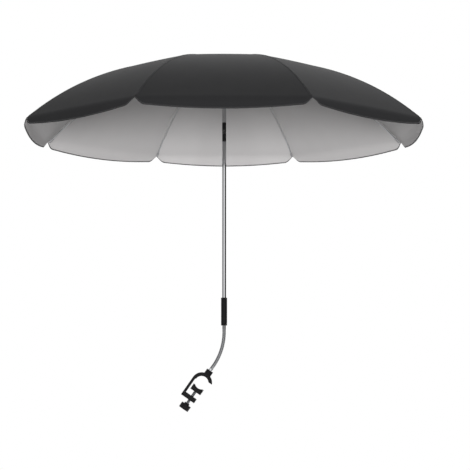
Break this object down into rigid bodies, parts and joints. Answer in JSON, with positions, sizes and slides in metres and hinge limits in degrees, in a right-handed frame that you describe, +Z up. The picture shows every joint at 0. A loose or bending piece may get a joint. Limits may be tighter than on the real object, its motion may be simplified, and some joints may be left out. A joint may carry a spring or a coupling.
{
  "type": "pram parasol",
  "caption": "Folding pram parasol: domed cloth canopy on a slim tilting pole, with a bendable ribbed gooseneck and a screw clamp for a pram frame tube.",
  "frame": {"origin": "centre of the clamped pram tube, in the middle of the clamp's width", "axes": "+X to the right in the picture, +Y away from the viewer along the clamped tube, +Z up along the pole"},
  "size_m": [0.7121, 0.7122, 0.6544],
  "materials": {
    "cloth": "matt charcoal woven cloth outside, silver-grey coated lining",
    "chrome_tube": "bright polished tube",
    "spring_steel": "plain drawn wire",
    "neck_steel": "satin ribbed metal hose",
    "black_plastic": "fine-grained moulded black",
    "black_rubber": "soft black pad",
    "zinc_steel": "zinc-plated"
  },
  "bodies": {
    "clamp": {"clamp_frame": "black_plastic", "clamp_seat_pad": "black_rubber", "clamp_nut": "zinc_steel", "gooseneck_ferrule": "chrome_tube", "gooseneck_lower": "neck_steel"},
    "jaw": {"clamp_jaw": "black_plastic", "clamp_jaw_pad": "black_rubber"},
    "knob": {"clamp_screw": "zinc_steel", "clamp_knob": "black_plastic"},
    "gooseneck_mid": {"gooseneck_upper": "neck_steel"},
    "gooseneck_top": {"gooseneck_collar": "black_plastic"},
    "socket": {"pole_socket": "black_plastic"},
    "lower_pole": {"lower_pole": "chrome_tube", "tilt_tongue": "black_plastic"},
    "upper_pole": {"upper_pole": "chrome_tube", "tilt_fork": "black_plastic", "tilt_pin": "zinc_steel", "crown": "black_plastic", "crown_wire": "spring_steel", "top_cap": "black_plastic"},
    "runner": {"runner": "black_plastic"},
    "catch": {"runner_catch": "spring_steel"},
    "rib_1": {"rib_1": "spring_steel", "rib_fittings_1": "zinc_steel"},
    "stretcher_1": {"stretcher_1": "spring_steel"},
    "panel_1": {"canopy_panel_1": "cloth"},
    "rib_2": {"rib_2": "spring_steel", "rib_fittings_2": "zinc_steel"},
    "stretcher_2": {"stretcher_2": "spring_steel"},
    "panel_2": {"canopy_panel_2": "cloth"},
    "rib_3": {"rib_3": "spring_steel", "rib_fittings_3": "zinc_steel"},
    "stretcher_3": {"stretcher_3": "spring_steel"},
    "panel_3": {"canopy_panel_3": "cloth"},
    "rib_4": {"rib_4": "spring_steel", "rib_fittings_4": "zinc_steel"},
    "stretcher_4": {"stretcher_4": "spring_steel"},
    "panel_4": {"canopy_panel_4": "cloth"},
    "rib_5": {"rib_5": "spring_steel", "rib_fittings_5": "zinc_steel"},
    "stretcher_5": {"stretcher_5": "spring_steel"},
    "panel_5": {"canopy_panel_5": "cloth"},
    "rib_6": {"rib_6": "spring_steel", "rib_fittings_6": "zinc_steel"},
    "stretcher_6": {"stretcher_6": "spring_steel"},
    "panel_6": {"canopy_panel_6": "cloth"},
    "rib_7": {"rib_7": "spring_steel", "rib_fittings_7": "zinc_steel"},
    "stretcher_7": {"stretcher_7": "spring_steel"},
    "panel_7": {"canopy_panel_7": "cloth"},
    "rib_8": {"rib_8": "spring_steel", "rib_fittings_8": "zinc_steel"},
    "stretcher_8": {"stretcher_8": "spring_steel"},
    "panel_8": {"canopy_panel_8": "cloth"}
  },
  "joints": [
    {"name": "knob_turn", "type": "hinge", "parent": "jaw", "child": "knob", "pos_m": [0, 0, 0], "axis": [0.5736, 0, 0.8192], "range_deg": [-1800, 720]},
    {"name": "jaw_slide", "type": "slide", "parent": "clamp", "child": "jaw", "axis": [0.5736, 0, 0.8192], "range_m": [-0.01, 0.004]},
    {"name": "gooseneck_bend", "type": "hinge", "parent": "clamp", "child": "gooseneck_mid", "pos_m": [0.02904, 0, 0.04321], "axis": [0, 1, 0], "range_deg": [-50, 50], "deforming": ["gooseneck_lower"]},
    {"name": "gooseneck_lean", "type": "hinge", "parent": "gooseneck_mid", "child": "gooseneck_top", "pos_m": [0.0406, 0, 0.0835], "axis": [1, 0, 0], "range_deg": [-50, 50], "deforming": ["gooseneck_upper"]},
    {"name": "socket_swivel", "type": "hinge", "parent": "gooseneck_top", "child": "socket", "pos_m": [0.04098, 0, 0.11], "axis": [0, 0, 1], "continuous": true},
    {"name": "pole_lift", "type": "slide", "parent": "socket", "child": "lower_pole", "axis": [0, 0, 1], "range_m": [0, 0.036]},
    {"name": "tilt", "type": "hinge", "parent": "lower_pole", "child": "upper_pole", "pos_m": [0.04098, 0, 0.46313], "axis": [1, 0, 0], "range_deg": [-60, 0]},
    {"name": "catch_press", "type": "slide", "parent": "upper_pole", "child": "catch", "axis": [0, -1, 0], "range_m": [0, 0.0016], "stiffness_N_per_m": 400},
    {"name": "canopy_fold", "type": "hinge", "parent": "upper_pole", "child": "rib_1", "pos_m": [0.04443, -0.00831, 0.58908], "axis": [0.9239, 0.3827, 0], "range_deg": [0, 70], "deforming": ["runner_catch"]},
    {"name": "stretcher_1_swing", "type": "hinge", "parent": "rib_1", "child": "stretcher_1", "pos_m": [0.10152, -0.14616, 0.57042], "axis": [0.9239, 0.3827, 0], "range_deg": [-134.5, 0]},
    {"name": "panel_1_fold", "type": "hinge", "parent": "rib_1", "child": "panel_1", "pos_m": [0.04592, -0.00493, 0.5873], "axis": [-0.5937, 0.5937, -0.5432], "range_deg": [0, 50.8], "deforming": ["canopy_panel_1"]},
    {"name": "rib_2_fold", "type": "hinge", "parent": "upper_pole", "child": "rib_2", "pos_m": [0.0493, -0.00344, 0.58908], "axis": [0.3827, 0.9239, 0], "range_deg": [0, 70]},
    {"name": "stretcher_2_swing", "type": "hinge", "parent": "rib_2", "child": "stretcher_2", "pos_m": [0.18714, -0.06054, 0.57042], "axis": [0.3827, 0.9239, 0], "range_deg": [-134.5, 0]},
    {"name": "panel_2_fold", "type": "hinge", "parent": "rib_2", "child": "panel_2", "pos_m": [0.04796, 0, 0.5873], "axis": [-0.8396, 0, -0.5432], "range_deg": [0, 50.8], "deforming": ["canopy_panel_2"]},
    {"name": "rib_3_fold", "type": "hinge", "parent": "upper_pole", "child": "rib_3", "pos_m": [0.0493, 0.00344, 0.58908], "axis": [-0.3827, 0.9239, 0], "range_deg": [0, 70]},
    {"name": "stretcher_3_swing", "type": "hinge", "parent": "rib_3", "child": "stretcher_3", "pos_m": [0.18714, 0.06054, 0.57042], "axis": [-0.3827, 0.9239, 0], "range_deg": [-134.5, 0]},
    {"name": "panel_3_fold", "type": "hinge", "parent": "rib_3", "child": "panel_3", "pos_m": [0.04592, 0.00493, 0.5873], "axis": [-0.5937, -0.5937, -0.5432], "range_deg": [0, 50.8], "deforming": ["canopy_panel_3"]},
    {"name": "rib_4_fold", "type": "hinge", "parent": "upper_pole", "child": "rib_4", "pos_m": [0.04443, 0.00831, 0.58908], "axis": [-0.9239, 0.3827, 0], "range_deg": [0, 70]},
    {"name": "stretcher_4_swing", "type": "hinge", "parent": "rib_4", "child": "stretcher_4", "pos_m": [0.10152, 0.14616, 0.57042], "axis": [-0.9239, 0.3827, 0], "range_deg": [-134.5, 0]},
    {"name": "panel_4_fold", "type": "hinge", "parent": "rib_4", "child": "panel_4", "pos_m": [0.04098, 0.00698, 0.5873], "axis": [0, -0.8396, -0.5432], "range_deg": [0, 50.8], "deforming": ["canopy_panel_4"]},
    {"name": "rib_5_fold", "type": "hinge", "parent": "upper_pole", "child": "rib_5", "pos_m": [0.03754, 0.00831, 0.58908], "axis": [-0.9239, -0.3827, 0], "range_deg": [0, 70]},
    {"name": "stretcher_5_swing", "type": "hinge", "parent": "rib_5", "child": "stretcher_5", "pos_m": [-0.01956, 0.14616, 0.57042], "axis": [-0.9239, -0.3827, 0], "range_deg": [-134.5, 0]},
    {"name": "panel_5_fold", "type": "hinge", "parent": "rib_5", "child": "panel_5", "pos_m": [0.03605, 0.00493, 0.5873], "axis": [0.5937, -0.5937, -0.5432], "range_deg": [0, 50.8], "deforming": ["canopy_panel_5"]},
    {"name": "rib_6_fold", "type": "hinge", "parent": "upper_pole", "child": "rib_6", "pos_m": [0.03267, 0.00344, 0.58908], "axis": [-0.3827, -0.9239, 0], "range_deg": [0, 70]},
    {"name": "stretcher_6_swing", "type": "hinge", "parent": "rib_6", "child": "stretcher_6", "pos_m": [-0.10518, 0.06054, 0.57042], "axis": [-0.3827, -0.9239, 0], "range_deg": [-134.5, 0]},
    {"name": "panel_6_fold", "type": "hinge", "parent": "rib_6", "child": "panel_6", "pos_m": [0.034, 0, 0.5873], "axis": [0.8396, 0, -0.5432], "range_deg": [0, 50.8], "deforming": ["canopy_panel_6"]},
    {"name": "rib_7_fold", "type": "hinge", "parent": "upper_pole", "child": "rib_7", "pos_m": [0.03267, -0.00344, 0.58908], "axis": [0.3827, -0.9239, 0], "range_deg": [0, 70]},
    {"name": "stretcher_7_swing", "type": "hinge", "parent": "rib_7", "child": "stretcher_7", "pos_m": [-0.10518, -0.06054, 0.57042], "axis": [0.3827, -0.9239, 0], "range_deg": [-134.5, 0]},
    {"name": "panel_7_fold", "type": "hinge", "parent": "rib_7", "child": "panel_7", "pos_m": [0.03605, -0.00493, 0.5873], "axis": [0.5937, 0.5937, -0.5432], "range_deg": [0, 50.8], "deforming": ["canopy_panel_7"]},
    {"name": "rib_8_fold", "type": "hinge", "parent": "upper_pole", "child": "rib_8", "pos_m": [0.03754, -0.00831, 0.58908], "axis": [0.9239, -0.3827, 0], "range_deg": [0, 70]},
    {"name": "stretcher_8_swing", "type": "hinge", "parent": "rib_8", "child": "stretcher_8", "pos_m": [-0.01956, -0.14616, 0.57042], "axis": [0.9239, -0.3827, 0], "range_deg": [-134.5, 0]},
    {"name": "panel_8_fold", "type": "hinge", "parent": "rib_8", "child": "panel_8", "pos_m": [0.04098, -0.00698, 0.5873], "axis": [0, 0.8396, -0.5432], "range_deg": [0, 50.8], "deforming": ["canopy_panel_8"]},
    {"name": "runner_slide", "type": "slide", "parent": "upper_pole", "child": "runner", "axis": [0, 0, -1], "range_m": [0, 0.24325]}
  ],
  "couplings": [
    {"joint": "jaw_slide", "follows": "knob_turn", "m_per_rad": 0.00031831},
    {"joint": "stretcher_1_swing", "follows": "canopy_fold", "ratio": -1.9185},
    {"joint": "panel_1_fold", "follows": "canopy_fold", "ratio": 0.72454},
    {"joint": "rib_2_fold", "follows": "canopy_fold", "ratio": 1},
    {"joint": "stretcher_2_swing", "follows": "canopy_fold", "ratio": -1.9185},
    {"joint": "panel_2_fold", "follows": "canopy_fold", "ratio": 0.72454},
    {"joint": "rib_3_fold", "follows": "canopy_fold", "ratio": 1},
    {"joint": "stretcher_3_swing", "follows": "canopy_fold", "ratio": -1.9185},
    {"joint": "panel_3_fold", "follows": "canopy_fold", "ratio": 0.72454},
    {"joint": "rib_4_fold", "follows": "canopy_fold", "ratio": 1},
    {"joint": "stretcher_4_swing", "follows": "canopy_fold", "ratio": -1.9185},
    {"joint": "panel_4_fold", "follows": "canopy_fold", "ratio": 0.72454},
    {"joint": "rib_5_fold", "follows": "canopy_fold", "ratio": 1},
    {"joint": "stretcher_5_swing", "follows": "canopy_fold", "ratio": -1.9185},
    {"joint": "panel_5_fold", "follows": "canopy_fold", "ratio": 0.72454},
    {"joint": "rib_6_fold", "follows": "canopy_fold", "ratio": 1},
    {"joint": "stretcher_6_swing", "follows": "canopy_fold", "ratio": -1.9185},
    {"joint": "panel_6_fold", "follows": "canopy_fold", "ratio": 0.72454},
    {"joint": "rib_7_fold", "follows": "canopy_fold", "ratio": 1},
    {"joint": "stretcher_7_swing", "follows": "canopy_fold", "ratio": -1.9185},
    {"joint": "panel_7_fold", "follows": "canopy_fold", "ratio": 0.72454},
    {"joint": "rib_8_fold", "follows": "canopy_fold", "ratio": 1},
    {"joint": "stretcher_8_swing", "follows": "canopy_fold", "ratio": -1.9185},
    {"joint": "panel_8_fold", "follows": "canopy_fold", "ratio": 0.72454},
    {"joint": "runner_slide", "follows": "canopy_fold", "m_per_rad": 0.19869}
  ]
}
